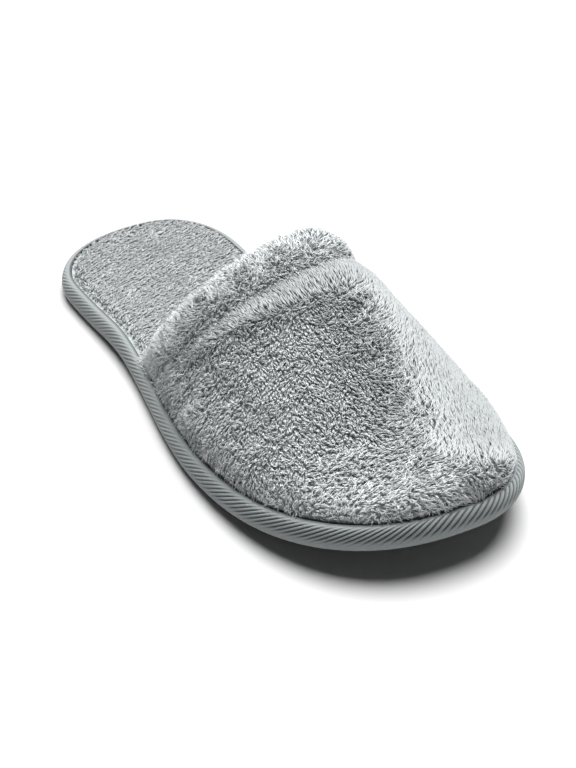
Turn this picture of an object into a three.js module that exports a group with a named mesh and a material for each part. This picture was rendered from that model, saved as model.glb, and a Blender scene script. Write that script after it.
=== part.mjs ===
// Closed-toe spa slipper for the right foot: a terry vamp with a folded cuff at its open back,
// a padded terry footbed, a thin foam outsole, and a twill tape bound round the sole's edge.
// Millimetres, +Z up, toe towards -Y, big-toe side towards +X.
// The origin is on the floor, under the centre of the footprint's bounding box.
import * as THREE from 'three';
import { mergeVertices } from 'three/addons/utils/BufferGeometryUtils.js';

// Sole, seen from above
const soleLength = 276;
const ballWidth = 116;
const waistWidth = 84.5;
const heelWidth = 87;
const toeTipOffset = 10; // the longest point of the toe lies this far towards the big toe
const heelTipOffset = 6; // and the heel's back lies this far towards the same side

// Sole, seen from the side
const toeSpring = 14;
const springStart = 0.57; // share of the length where the sole starts to lift
const archRise = 1.2;
const archStart = 0.215;
const archEnd = 0.44;

// Tape bound round the sole's edge
const tapeHeight = 10;
const tapeWall = 1.1;
const edgeRound = 3; // how far the rounded edge curves in towards its top and bottom
const tapeTopLap = 4.5; // width of the tape's lap on the top of the sole
const tapeBottomLap = 8; // width of its lap on the underside

// Layers inside the tape
const fitGap = 0.3;
const outsoleThickness = 5;
const marginDrop = 0.4; // the footbed's flat margin lies this far under the tape's top
const footbedDome = 2.2; // how far the padded footbed stands above that margin
const domeReach = 16; // width over which it rises

// Upper
const vampWall = 3;
const throatHeight = 60; // crown of the upper at the cuff, above the upper's feet
const throatCurve = 31.5; // the cuff lies this much nearer the toe at the crown
const cuffBackFoot = 110.5; // from the heel's back to where the cuff's free edge meets the sole
const cuffWidth = 22;
const cuffWall = 5;
const cuffStandOut = 1.1; // how far the folded cuff stands above the vamp's face
const seamGap = 0.5; // between the cuff and the vamp, along the foot
const seamDip = 1.6; // how far both faces roll down into the seam between them
const seamRoll = 9; // length over which the vamp rolls down

// Each side of the outline and of the upper. Places are shares of the sole's length, and widths
// are shares of the width they belong to. A power of 2 makes a curve a quarter ellipse.
const sides = {
  lateral: {
    sign: -1,
    heelAt: 0.156,
    heelShare: 0.54,
    heelPower: 2.15,
    waistAt: 0.305,
    waistShare: 0.545,
    ballAt: 0.68,
    ballShare: 0.5,
    toePower: 2.4,
    sectionPower: 1.76,
  },
  medial: {
    sign: 1,
    heelAt: 0.156,
    heelShare: 0.46,
    heelPower: 2.3,
    waistAt: 0.38,
    waistShare: 0.455,
    ballAt: 0.748,
    ballShare: 0.5,
    toePower: 2.15,
    sectionPower: 2.13,
  },
};

// Crown line of the upper. at is a share of the sole's length, height is a share of
// throatHeight, and crown is its place from the lateral foot, 0, to the medial foot, 1.
const crownLine = [
  { at: 0.42, height: 1, crown: 0.79 },
  { at: 0.515, height: 1, crown: 0.745 },
  { at: 0.608, height: 0.917, crown: 0.69 },
  { at: 0.711, height: 0.708, crown: 0.64 },
  { at: 0.814, height: 0.45, crown: 0.575 },
  { at: 0.897, height: 0.275, crown: 0.54 },
  { at: 0.95, height: 0.192, crown: 0.53 },
];

// Rise of the footbed. reach is a share of domeReach, the other two are shares of footbedDome,
// behind the upper and under it.
const domeRows = [
  { reach: 0, open: 0.75, covered: 0 },
  { reach: 0.4, open: 0.95, covered: 0.7 },
  { reach: 1, open: 1, covered: 1 },
];

// Roll of the vamp into the seam. reach is a share of seamRoll, dip a share of seamDip.
const rollRows = [
  { reach: 0, dip: 1 },
  { reach: 0.15, dip: 0.55 },
  { reach: 0.45, dip: 0.15 },
  { reach: 1, dip: 0 },
];

// Section of the cuff. across is a share of cuffWidth from its free edge, through a share of
// the wall from its outer face, and toSeam how far the wall has thinned to the vamp's edge.
const cuffSection = [
  { across: 0, through: 0.5, toSeam: 0 },
  { across: 0.03, through: 0.2, toSeam: 0 },
  { across: 0.12, through: 0.04, toSeam: 0 },
  { across: 0.35, through: 0, toSeam: 0 },
  { across: 0.65, through: 0.04, toSeam: 0 },
  { across: 0.88, through: 0.05, toSeam: 0.4 },
  { across: 1, through: 0, toSeam: 1 },
  { across: 1, through: 1, toSeam: 1 },
  { across: 0.8, through: 1, toSeam: 0.3 },
  { across: 0.4, through: 1, toSeam: 0 },
  { across: 0.12, through: 0.96, toSeam: 0 },
  { across: 0.03, through: 0.8, toSeam: 0 },
];

// How finely the surfaces are cut into flat faces
const heelSteps = 9;
const middleSteps = 17;
const toeSteps = 16;
const sectionSteps = 26; // across the upper, from foot to foot
const edgeStep = Math.PI / 6; // round the sole's edge

const { lateral, medial } = sides;
const quarterTurn = Math.PI / 2;
const middleStart = lateral.heelAt * soleLength;
const middleEnd = lateral.ballAt * soleLength;
const centreShift = (ballWidth * (lateral.ballShare - medial.ballShare)) / 2;

function clamp(value) {
  return Math.min(1, Math.max(0, value));
}

function mix(from, to, share) {
  return from + (to - from) * share;
}

function ease(from, to, share) {
  return mix(from, to, share * share * (3 - 2 * share));
}

// Height of the sole's underside above the floor, at a distance from the heel's back
function soleLift(along) {
  const share = along / soleLength;
  const spring = Math.max(0, (share - springStart) / (1 - springStart));
  const arch = clamp((share - archStart) / (archEnd - archStart));
  return toeSpring * spring ** 2 + archRise * Math.sin(Math.PI * arch) ** 2;
}

// Distance of one side's edge from the centre line, with the whole outline drawn in by inset
function halfWidth(side, along, inset) {
  const heel = heelWidth * side.heelShare - inset;
  const waist = waistWidth * side.waistShare - inset;
  const ball = ballWidth * side.ballShare - inset;
  const heelAt = side.heelAt * soleLength;
  const waistAt = side.waistAt * soleLength;
  const ballAt = side.ballAt * soleLength;
  if (along <= heelAt) {
    const reach = clamp((heelAt - along) / (heelAt - inset));
    const tip = side.sign * heelTipOffset;
    return mix(tip, heel, (1 - reach ** side.heelPower) ** (1 / side.heelPower));
  }
  if (along <= waistAt) return ease(heel, waist, (along - heelAt) / (waistAt - heelAt));
  if (along <= ballAt) return ease(waist, ball, (along - waistAt) / (ballAt - waistAt));
  const reach = clamp((along - ballAt) / (soleLength - inset - ballAt));
  const tip = side.sign * toeTipOffset;
  return mix(tip, ball, (1 - reach ** side.toePower) ** (1 / side.toePower));
}

function place(across, along, height) {
  const lifted = height + soleLift(along);
  return new THREE.Vector3(across + centreShift, soleLength / 2 - along, lifted);
}

// Distances from the heel's back where the outline is cut, closer together round both ends
function outlineStations(inset) {
  const stations = [];
  for (let i = 0; i < heelSteps; i += 1) {
    const reach = middleStart - inset;
    stations.push(middleStart - reach * Math.cos((quarterTurn * i) / heelSteps));
  }
  for (let i = 0; i < middleSteps; i += 1) {
    stations.push(mix(middleStart, middleEnd, i / middleSteps));
  }
  for (let i = 0; i <= toeSteps; i += 1) {
    const reach = soleLength - inset - middleEnd;
    stations.push(middleEnd + reach * Math.sin((quarterTurn * i) / toeSteps));
  }
  return stations;
}

// One closed ring of the outline: heel, lateral side, toe, then back along the medial side
function outlineRing(inset, heightAt) {
  const stations = outlineStations(inset);
  const left = stations.map((s) => place(-halfWidth(lateral, s, inset), s, heightAt(s)));
  const right = stations.map((s) => place(halfWidth(medial, s, inset), s, heightAt(s)));
  return [...left, ...right.slice(1, -1).reverse()];
}

// Rounded flank of the sole's edge, at a depth under the tape's outer face
function edgeCurve(depth, fromHeight, toHeight) {
  const middle = tapeHeight / 2;
  const shareAt = (height) => clamp((height - depth) / (tapeHeight - 2 * depth));
  const angleAt = (height) => Math.asin(mix(-1, 1, shareAt(height)));
  const from = angleAt(fromHeight);
  const to = angleAt(toHeight);
  const steps = Math.max(1, Math.round(Math.abs(to - from) / edgeStep));
  return Array.from({ length: steps + 1 }, (_, i) => {
    const angle = mix(from, to, i / steps);
    return {
      inset: depth + edgeRound * (1 - Math.cos(angle)),
      height: middle + (middle - depth) * Math.sin(angle),
    };
  });
}

// A closed body through loops of as many points each. Quads join each loop to the next. The
// first and last loops are capped by strips, in which point i faces the point pairSum - i.
// Where there is no pairSum, the last loop is joined to the first instead.
function solidThroughLoops(loops, pairSum) {
  const size = loops[0].length;
  const faces = [];
  const quad = (a, b, c, d) => faces.push([a, b, c], [a, c, d]);
  const joined = pairSum === undefined;
  const sections = joined ? loops.length : loops.length - 1;
  for (let j = 0; j < sections; j += 1) {
    const here = j * size;
    const next = ((j + 1) % loops.length) * size;
    for (let i = 0; i < size; i += 1) {
      const after = (i + 1) % size;
      quad(here + i, here + after, next + after, next + i);
    }
  }
  if (!joined) {
    const last = (loops.length - 1) * size;
    for (let i = 0; i < size / 2; i += 1) {
      const [a, b, c, d] = [i, i + 1, (pairSum - i - 1) % size, (pairSum - i) % size];
      quad(d, c, b, a);
      quad(last + a, last + b, last + c, last + d);
    }
  }
  const points = loops.flat().flatMap((point) => point.toArray());
  const raw = new THREE.BufferGeometry();
  raw.setAttribute('position', new THREE.Float32BufferAttribute(points, 3));
  raw.setIndex(faces.flat());
  const merged = mergeVertices(raw, 1e-4);
  const index = merged.getIndex().array;
  const kept = [];
  for (let i = 0; i < index.length; i += 3) {
    const [a, b, c] = index.slice(i, i + 3);
    if (a !== b && b !== c && c !== a) kept.push(a, b, c);
  }
  merged.setIndex(kept);
  return merged;
}

function namedMesh(name, geometry, colour, roughness) {
  const material = new THREE.MeshStandardMaterial({ color: colour, roughness, metalness: 0 });
  geometry.computeVertexNormals();
  const mesh = new THREE.Mesh(geometry, material);
  mesh.name = name;
  return mesh;
}

// Foam outsole: a flat tread inside the tape's lower lap, and a wider slab above that lap
function outsole() {
  const wrapDepth = tapeWall + fitGap;
  const treadInset = tapeBottomLap + fitGap;
  const profile = [
    { inset: treadInset, height: 0 },
    { inset: treadInset, height: wrapDepth },
    ...edgeCurve(wrapDepth, 0, outsoleThickness),
  ];
  const rings = profile.map((row) => outlineRing(row.inset, () => row.height));
  return solidThroughLoops(rings, rings[0].length);
}

const margin = tapeHeight - marginDrop;
const upperInset = tapeTopLap + 2 * fitGap;
const upperFoot = margin + fitGap;
const seamFoot = cuffBackFoot + cuffWidth;

// Padded footbed: a board held under the tape's upper lap, a flat margin that the upper
// stands on, and a domed terry top. Behind the upper the dome comes out to the tape.
function footbed() {
  const board = edgeCurve(tapeWall + fitGap, outsoleThickness + fitGap, tapeHeight);
  const innerEdge = tapeTopLap + fitGap;
  const besideUpper = upperInset + vampWall + fitGap;
  const covered = (s) => clamp((s - cuffBackFoot + domeReach) / domeReach);
  const profile = [
    ...board.map((row) => ({ inset: row.inset, heightAt: () => row.height })),
    { inset: innerEdge, heightAt: () => tapeHeight - tapeWall - fitGap },
    { inset: innerEdge, heightAt: () => margin },
    ...domeRows.map((row) => ({
      inset: besideUpper + domeReach * row.reach,
      heightAt: (s) => margin + footbedDome * ease(row.open, row.covered, covered(s)),
    })),
  ];
  const rings = profile.map((row) => outlineRing(row.inset, row.heightAt));
  return solidThroughLoops(rings, rings[0].length);
}

// Twill tape folded round the sole's edge, from its lap underneath to its lap on top
function edgeTape() {
  const profile = [
    { inset: tapeBottomLap, height: 0 },
    ...edgeCurve(0, 0, tapeHeight),
    { inset: tapeTopLap, height: tapeHeight },
    { inset: tapeTopLap, height: tapeHeight - tapeWall },
    ...edgeCurve(tapeWall, tapeHeight, 0),
    { inset: tapeBottomLap, height: tapeWall },
  ];
  const rings = profile.map((row) => outlineRing(row.inset, () => row.height));
  return solidThroughLoops(rings);
}

// Value of one column of the crown line, on a smooth curve through its rows
function crownValue(column, along) {
  const share = along / soleLength;
  const rows = crownLine;
  let i = 0;
  while (i < rows.length - 2 && share > rows[i + 1].at) i += 1;
  const slope = (k) => {
    const before = rows[Math.max(0, k - 1)];
    const after = rows[Math.min(rows.length - 1, k + 1)];
    return (after[column] - before[column]) / (after.at - before.at);
  };
  const span = rows[i + 1].at - rows[i].at;
  const t = clamp((share - rows[i].at) / span);
  const bulge = span * t * (1 - t) * ((1 - t) * slope(i) - t * slope(i + 1));
  return ease(rows[i][column], rows[i + 1][column], t) + bulge;
}

// A point of the upper. side runs from -1 at the lateral foot over the crown to 1 at the
// medial foot, and depth is how far the point lies under the vamp's outer face.
function upperPoint(footAlong, side, depth) {
  const inset = upperInset + depth;
  const toeEnd = soleLength - inset;
  const pastSeam = clamp((footAlong - seamFoot) / (toeEnd - seamFoot));
  const bend = throatCurve * (1 - side * side) * (1 - pastSeam) ** 1.5;
  const along = Math.min(footAlong + bend, toeEnd);
  const left = -halfWidth(lateral, along, inset);
  const right = halfWidth(medial, along, inset);
  const crown = mix(left, right, crownValue('crown', along));
  const toeStart = crownLine[crownLine.length - 1].at * soleLength;
  const rounding = Math.sqrt(1 - clamp((along - toeStart) / (toeEnd - toeStart)) ** 2);
  const rise = (throatHeight * crownValue('height', along) - depth) * rounding;
  const { sectionPower } = side < 0 ? lateral : medial;
  const outward = Math.abs(Math.sin(side * quarterTurn)) ** (2 / sectionPower);
  const upward = Math.cos(side * quarterTurn) ** (2 / sectionPower);
  const across = mix(crown, side < 0 ? left : right, outward);
  return place(across, along, upperFoot + rise * upward);
}

const sideSteps = Array.from({ length: sectionSteps + 1 }, (_, k) => (2 * k) / sectionSteps - 1);

// 1 over most of the upper, falling to 0 where its two feet meet the sole. There the cuff and
// the vamp have the same plain wall.
function awayFromFeet(side) {
  return 1 - side ** 6;
}

// Terry vamp: one hollow wall, open at the back and underneath, rolled down at the seam
function vamp() {
  const backEdge = seamFoot + seamGap / 2;
  const rollEnd = backEdge + seamRoll;
  const toeEnd = soleLength - upperInset;
  const rows = [
    ...rollRows.map(({ reach, dip }) => ({ along: backEdge + seamRoll * reach, dip })),
    ...outlineStations(upperInset)
      .filter((along) => along > rollEnd + seamRoll / 3)
      .map((along) => ({ along, dip: 0 })),
  ];
  const loops = rows.map(({ along, dip }) => {
    const innerAlong = along - (vampWall * (along - backEdge)) / (toeEnd - backEdge);
    const outer = sideSteps.map((side) =>
      upperPoint(along, side, seamDip * dip * awayFromFeet(side)),
    );
    const inner = sideSteps.map((side) => upperPoint(innerAlong, side, vampWall));
    return [...inner, ...outer.reverse()];
  });
  return solidThroughLoops(loops, loops[0].length - 1);
}

// Folded terry cuff: a thick band with a rounded free edge, sewn to the vamp's back edge
function cuff() {
  const frontEdge = seamFoot - seamGap / 2;
  const loops = sideSteps.map((side) => {
    const away = awayFromFeet(side);
    return cuffSection.map(({ across, through, toSeam }) => {
      const fold = mix(vampWall * through, cuffWall * through - cuffStandOut, away);
      const seam = mix(seamDip * away, vampWall, through);
      return upperPoint(mix(cuffBackFoot, frontEdge, across), side, mix(fold, seam, toSeam));
    });
  });
  return solidThroughLoops(loops, cuffSection.length);
}

const slipper = new THREE.Group();
slipper.add(namedMesh('outsole', outsole(), 0x6f7372, 0.9));
slipper.add(namedMesh('edge_tape', edgeTape(), 0x9b9fa0, 0.85));
slipper.add(namedMesh('footbed', footbed(), 0xb4b7b7, 0.95));
slipper.add(namedMesh('vamp', vamp(), 0xa9acad, 0.95));
slipper.add(namedMesh('cuff', cuff(), 0xa4a7a8, 0.95));

export default slipper;
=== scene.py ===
# Terry spa slipper for the right foot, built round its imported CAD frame.
# Metres, +Z up, toe towards -Y, big toe towards +X, origin on the floor under the footprint.
import math

import bmesh
import bpy
import numpy as np
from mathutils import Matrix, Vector


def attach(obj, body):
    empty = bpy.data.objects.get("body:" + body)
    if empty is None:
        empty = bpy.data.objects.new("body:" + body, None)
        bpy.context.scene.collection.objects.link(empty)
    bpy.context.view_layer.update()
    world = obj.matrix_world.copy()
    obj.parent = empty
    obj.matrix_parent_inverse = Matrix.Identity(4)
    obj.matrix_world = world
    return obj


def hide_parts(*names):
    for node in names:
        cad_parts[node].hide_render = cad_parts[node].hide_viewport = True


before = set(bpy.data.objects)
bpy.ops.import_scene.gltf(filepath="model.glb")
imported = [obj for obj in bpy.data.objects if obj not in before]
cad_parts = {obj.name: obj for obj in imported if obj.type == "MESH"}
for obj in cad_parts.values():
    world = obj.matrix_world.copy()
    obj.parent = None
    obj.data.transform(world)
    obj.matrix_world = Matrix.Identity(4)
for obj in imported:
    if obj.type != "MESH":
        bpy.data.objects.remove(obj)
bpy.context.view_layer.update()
mm = 0.001


# Camera
# Stands in front of the toe on the outer side and looks down at 34 degrees, as in the photo,
# with the one shoe in the middle of the frame.


def new_object(name, data):
    made = bpy.data.objects.new(name, data)
    bpy.context.scene.collection.objects.link(made)
    return made


camera_data = bpy.data.cameras.new("camera")
camera_data.lens = 74
camera_data.sensor_width = 36
camera_data.clip_start, camera_data.clip_end = 0.05, 20
camera = new_object("camera", camera_data)
camera.location = (-259.3 * mm, -481.4 * mm, 364.5 * mm)
sight_line = Vector((0.4076, 0.7245, -0.556))
camera.rotation_euler = sight_line.to_track_quat("-Z", "Y").to_euler()
bpy.context.scene.camera = camera


# Floor and light
# Matt white paper under a broad soft light from above the heel's inner side. The room is white
# low down and dim overhead, so light from the sides reaches the outer flank, and the gap under
# the lifted toe stays dark.
FLOOR_REACH = 12.0
LIGHT_FROM = (0.25, 0.34, 1.0)
LIGHT_STRENGTH = 9.0
LIGHT_SPREAD = 54.0
ROOM_LOW, ROOM_OVERHEAD = 2.4, 0.06
ROOM_FADE = (0.04, 0.14)


def linear(code):
    """Linear colour of an sRGB hex code."""
    parts = [int(code[i : i + 2], 16) / 255 for i in (1, 3, 5)]
    return [c / 12.92 if c <= 0.04045 else ((c + 0.055) / 1.055) ** 2.4 for c in parts] + [1.0]


def add_node(tree, kind, inputs=None, **settings):
    """A new node with its settings. An input is a value, the socket that feeds it, or a node,
    which feeds it from its first output in use."""
    made = tree.nodes.new(kind)
    for name, value in settings.items():
        setattr(made, name, value)
    for name, value in (inputs or {}).items():
        if isinstance(value, bpy.types.Node):
            value = next(s for s in value.outputs if s.enabled)
        if isinstance(value, bpy.types.NodeSocket):
            tree.links.new(value, made.inputs[name])
        else:
            made.inputs[name].default_value = value
    return made


def new_material(name):
    """An empty material and its node tree."""
    material = bpy.data.materials.new(name)
    material.use_nodes = True
    material.node_tree.nodes.clear()
    return material, material.node_tree


def finish_material(tree, bump, **inputs):
    """A principled shader with a bump of some height, strength and depth, joined to the output.
    Underscores in the names stand for spaces."""
    height, strength, depth = bump
    relief = {"Height": height, "Strength": strength, "Distance": depth}
    named = {name.replace("_", " "): value for name, value in inputs.items()}
    named["Normal"] = add_node(tree, "ShaderNodeBump", relief)
    shader = add_node(tree, "ShaderNodeBsdfPrincipled", named)
    add_node(tree, "ShaderNodeOutputMaterial", {"Surface": shader})


paper, paper_tree = new_material("matt_white_paper")
paper_grain = add_node(paper_tree, "ShaderNodeTexNoise", {"Scale": 900.0, "Detail": 2.0})
finish_material(paper_tree, (paper_grain, 0.05, 0.05 * mm), Base_Color=linear("#b8b8b8"), Roughness=0.9)
corners = [(x * FLOOR_REACH, y * FLOOR_REACH, 0) for x, y in ((-1, -1), (1, -1), (1, 1), (-1, 1))]
floor_mesh = bpy.data.meshes.new("floor")
floor_mesh.from_pydata(corners, [], [(0, 1, 2, 3)])
floor_mesh.materials.append(paper)
floor = new_object("floor", floor_mesh)
floor.location.z = -0.05 * mm

key_data = bpy.data.lights.new("key_light", "SUN")
key_data.energy = LIGHT_STRENGTH
key_data.angle = math.radians(LIGHT_SPREAD)
key_light = new_object("key_light", key_data)
key_light.rotation_euler = Vector(LIGHT_FROM).to_track_quat("Z", "Y").to_euler()

room = bpy.data.worlds.new("room")
room.use_nodes = True
room_tree = room.node_tree
room_tree.nodes.clear()
room_place = add_node(room_tree, "ShaderNodeTexCoord")
room_parts = add_node(room_tree, "ShaderNodeSeparateXYZ", {0: room_place.outputs["Generated"]})
room_light = add_node(
    room_tree,
    "ShaderNodeMapRange",
    {
        "Value": room_parts.outputs["Z"],
        "From Min": ROOM_FADE[0],
        "From Max": ROOM_FADE[1],
        "To Min": ROOM_LOW,
        "To Max": ROOM_OVERHEAD,
    },
)
room_white = add_node(room_tree, "ShaderNodeBackground", {"Strength": room_light})
room_white.inputs["Color"].default_value = (1, 1, 1, 1)
add_node(room_tree, "ShaderNodeOutputWorld", {"Surface": room_white})
bpy.context.scene.world = room
bpy.context.scene.view_settings.view_transform = "Standard"


# Foam outsole
# A 5 mm slab of closed-cell EVA foam, die-cut to the last's outline, cold-pressed with small
# round studs for grip. The tape holds its edge, so only the tread shows.
SOLE_LENGTH = 276 * mm
BALL_WIDTH, WAIST_WIDTH, HEEL_WIDTH = 116 * mm, 84.5 * mm, 87 * mm
TOE_TIP, HEEL_TIP = 10 * mm, 6 * mm
TOE_SPRING, SPRING_START = 14 * mm, 0.57
ARCH_RISE, ARCH_START, ARCH_END = 1.2 * mm, 0.215, 0.44
OUTSOLE_THICKNESS = 5 * mm
STUD_HEIGHT = 0.5 * mm
STUD_SPACING, STUD_RADIUS = 4.2 * mm, 0.9 * mm
OUTSOLE_INSET = 1.8 * mm
LAP_ROOM, LAP_REACH, LAP_SLOPE = 1.5 * mm, 7.6 * mm, 1.2 * mm
TREAD_FROM = 10 * mm

outer_side = dict(
    sign=-1, heel_at=0.156, heel=0.54, heel_power=2.15,
    waist_at=0.305, waist=0.545, ball_at=0.68, ball=0.5,
    toe_power=2.4, section_power=1.76,
)
inner_side = dict(
    sign=1, heel_at=0.156, heel=0.46, heel_power=2.3,
    waist_at=0.38, waist=0.455, ball_at=0.748, ball=0.5,
    toe_power=2.15, section_power=2.13,
)


def ease(start, end, share):
    share = np.clip(share, 0, 1)
    return start + (end - start) * share * share * (3 - 2 * share)


def sole_lift(along):
    """Height of the sole's underside above the floor, at a distance from the heel's back."""
    share = along / SOLE_LENGTH
    spring = np.maximum(0, (share - SPRING_START) / (1 - SPRING_START))
    arch = np.clip((share - ARCH_START) / (ARCH_END - ARCH_START), 0, 1)
    return TOE_SPRING * spring**2 + ARCH_RISE * np.sin(np.pi * arch) ** 2


def half_width(side, along, inset):
    """Distance of one side's edge from the centre line, drawn in by inset."""
    heel = HEEL_WIDTH * side["heel"] - inset
    waist = WAIST_WIDTH * side["waist"] - inset
    ball = BALL_WIDTH * side["ball"] - inset
    heel_at, waist_at, ball_at = (side[k] * SOLE_LENGTH for k in ("heel_at", "waist_at", "ball_at"))
    back = np.clip((heel_at - along) / (heel_at - inset), 0, 1)
    front = np.clip((along - ball_at) / (SOLE_LENGTH - inset - ball_at), 0, 1)
    heel_tip, toe_tip = side["sign"] * HEEL_TIP, side["sign"] * TOE_TIP
    round_heel = (1 - back ** side["heel_power"]) ** (1 / side["heel_power"])
    round_toe = (1 - front ** side["toe_power"]) ** (1 / side["toe_power"])
    to_waist = ease(heel, waist, (along - heel_at) / (waist_at - heel_at))
    to_ball = ease(waist, ball, (along - waist_at) / (ball_at - waist_at))
    width = np.where(along <= waist_at, to_waist, to_ball)
    width = np.where(along <= heel_at, heel_tip + (heel - heel_tip) * round_heel, width)
    return np.where(along > ball_at, toe_tip + (ball - toe_tip) * round_toe, width)


# The outline as a fine polygon, heel, outer side, toe, inner side, with its length from the
# heel's back and its inward direction at each point.
turn = np.linspace(0, np.pi, 1500)
fine_along = SOLE_LENGTH / 2 * (1 - np.cos(turn))
outer_edge = np.stack([-half_width(outer_side, fine_along, 0.0), SOLE_LENGTH / 2 - fine_along], 1)
inner_edge = np.stack([half_width(inner_side, fine_along, 0.0), SOLE_LENGTH / 2 - fine_along], 1)
outline = np.concatenate([outer_edge, inner_edge[-2:0:-1]])
outline_steps = np.linalg.norm(np.roll(outline, -1, 0) - outline, axis=1)
OUTLINE_LENGTH = float(outline_steps.sum())
outline_at = np.concatenate([[0], np.cumsum(outline_steps)])
outline_looped = np.concatenate([outline, outline[:1]])


def on_outline(distance):
    """Points and inward directions at distances along the outline."""
    reach = 1.5 * mm
    here, before, after = (
        np.stack(
            [
                np.interp((distance + shift) % OUTLINE_LENGTH, outline_at, outline_looped[:, k])
                for k in (0, 1)
            ],
            -1,
        )
        for shift in (0, -reach, reach)
    )
    tangent = after - before
    tangent /= np.linalg.norm(tangent, axis=-1, keepdims=True)
    return here, np.stack([-tangent[..., 1], tangent[..., 0]], -1)


def distance_to_edge(flat):
    """Distance of points in the plane from the outline."""
    coarse = outline[::3]
    found = np.empty(len(flat))
    for start in range(0, len(flat), 2000):
        part = flat[start : start + 2000, None, :] - coarse[None]
        found[start : start + 2000] = np.sqrt((part**2).sum(-1).min(1))
    return found


def sheet_faces(rows, columns, wrap=False):
    """Quads over a grid of points, row by row."""
    i, j = np.meshgrid(np.arange(rows - 1), np.arange(columns if wrap else columns - 1), indexing="ij")
    right = (j + 1) % columns
    corners_of = [i * columns + j, i * columns + right, (i + 1) * columns + right, (i + 1) * columns + j]
    return np.stack([c.ravel() for c in corners_of], -1)


def make_mesh(name, points, faces, flip=False, merge=True, **layers):
    """A smooth mesh. Layers are float values or vectors, one for each point."""
    mesh = bpy.data.meshes.new(name)
    order = faces[:, ::-1] if flip else faces
    mesh.from_pydata(points.tolist(), [], order.tolist())
    for layer, values in layers.items():
        values = np.asarray(values, np.float32)
        kind = "FLOAT_VECTOR" if values.ndim == 2 else "FLOAT"
        stored = mesh.attributes.new(layer, kind, "POINT")
        stored.data.foreach_set("vector" if values.ndim == 2 else "value", values.ravel())
    if merge:
        shell = bmesh.new()
        shell.from_mesh(mesh)
        bmesh.ops.remove_doubles(shell, verts=shell.verts, dist=0.002 * mm)
        bmesh.ops.dissolve_degenerate(shell, edges=shell.edges, dist=0.001 * mm)
        shell.to_mesh(mesh)
        shell.free()
    mesh.shade_smooth()
    mesh.update()
    return mesh


def slab_points(inset, rows, columns):
    """A grid over the outline drawn in by inset, from heel to toe, and its edge distances."""
    along = inset + (SOLE_LENGTH - 2 * inset) / 2 * (1 - np.cos(np.linspace(0, np.pi, rows)))
    across = np.sin(np.linspace(-np.pi / 2, np.pi / 2, columns)) * 0.5 + 0.5
    left = -half_width(outer_side, along, inset)
    right = half_width(inner_side, along, inset)
    x = left[:, None] + (right - left)[:, None] * across
    y = np.broadcast_to((SOLE_LENGTH / 2 - along)[:, None], x.shape)
    flat = np.stack([x.ravel(), y.ravel()], -1)
    return flat, distance_to_edge(flat)


def closed_slab(rows, columns):
    """Faces of an upper grid, a lower grid and the wall between them."""
    top = sheet_faces(rows, columns)
    count = rows * columns
    ring = [
        *range(columns),
        *(r * columns + columns - 1 for r in range(1, rows)),
        *(count - 1 - c for c in range(1, columns)),
        *(r * columns for r in range(rows - 2, 0, -1)),
    ]
    ring = np.array(ring)
    after = np.roll(ring, -1)
    wall = np.stack([ring, ring + count, after + count, after], -1)
    return top, top[:, ::-1] + count, wall


OUTSOLE_ROWS, OUTSOLE_COLUMNS = 90, 56
outsole_flat, outsole_reach = slab_points(OUTSOLE_INSET, OUTSOLE_ROWS, OUTSOLE_COLUMNS)
outsole_lift = sole_lift(SOLE_LENGTH / 2 - outsole_flat[:, 1])
lap_step = ease(LAP_ROOM, STUD_HEIGHT, (outsole_reach - LAP_REACH) / LAP_SLOPE)
outsole_top = np.column_stack([outsole_flat, outsole_lift + OUTSOLE_THICKNESS - 0.1 * mm])
outsole_base = np.column_stack([outsole_flat, outsole_lift + lap_step])
outsole_mesh = make_mesh(
    "outsole_foam",
    np.concatenate([outsole_top, outsole_base]),
    np.concatenate(closed_slab(OUTSOLE_ROWS, OUTSOLE_COLUMNS)),
    flip=True,
    tread=np.concatenate([np.zeros(len(outsole_flat)), outsole_reach > TREAD_FROM]),
)
outsole_foam = new_object("outsole_foam", outsole_mesh)

# EVA foam, cut and pressed: matt and faintly speckled by its closed cells, about 0.3 mm wide
foam, foam_tree = new_material("eva_foam")
foam_place = add_node(foam_tree, "ShaderNodeTexCoord").outputs["Object"]
foam_cells = add_node(
    foam_tree, "ShaderNodeTexVoronoi", {"Vector": foam_place, "Scale": 1 / (0.45 * mm)}
)
foam_cloud = add_node(foam_tree, "ShaderNodeTexNoise", {"Vector": foam_place, "Scale": 1 / (30 * mm)})
foam_blend = add_node(
    foam_tree,
    "ShaderNodeMix",
    {0: foam_cloud, 6: linear("#5e6261"), 7: linear("#757a78")},
    data_type="RGBA",
)
finish_material(
    foam_tree, (foam_cells, 0.5, 0.06 * mm), Base_Color=foam_blend, Roughness=0.82, IOR=1.49
)
outsole_mesh.materials.append(foam)


def input_ids(tree):
    return {s.name: s.identifier for s in tree.interface.items_tree if s.in_out == "INPUT"}


def new_geometry_tree(name, sockets):
    """A geometry tree with named inputs, given as name and kind of socket."""
    tree = bpy.data.node_groups.new(name, "GeometryNodeTree")
    tree.interface.new_socket("Geometry", in_out="INPUT", socket_type="NodeSocketGeometry")
    for label, kind in sockets:
        tree.interface.new_socket(label, in_out="INPUT", socket_type="NodeSocket" + kind)
    tree.interface.new_socket("Geometry", in_out="OUTPUT", socket_type="NodeSocketGeometry")
    return tree, add_node(tree, "NodeGroupInput").outputs


def run_geometry_tree(tree, name, source, settings):
    """A plain mesh object made by a geometry tree from a source mesh."""
    worked = new_object(name, source.data.copy())
    modifier = worked.modifiers.new(tree.name, "NODES")
    modifier.node_group = tree
    ids = input_ids(tree)
    for label, value in settings.items():
        modifier[ids[label]] = value
    ready = worked.evaluated_get(bpy.context.evaluated_depsgraph_get())
    made = bpy.data.meshes.new_from_object(ready)
    worked.modifiers.remove(modifier)
    plain, worked.data = worked.data, made
    bpy.data.meshes.remove(plain)
    made.name = name
    return worked


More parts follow.
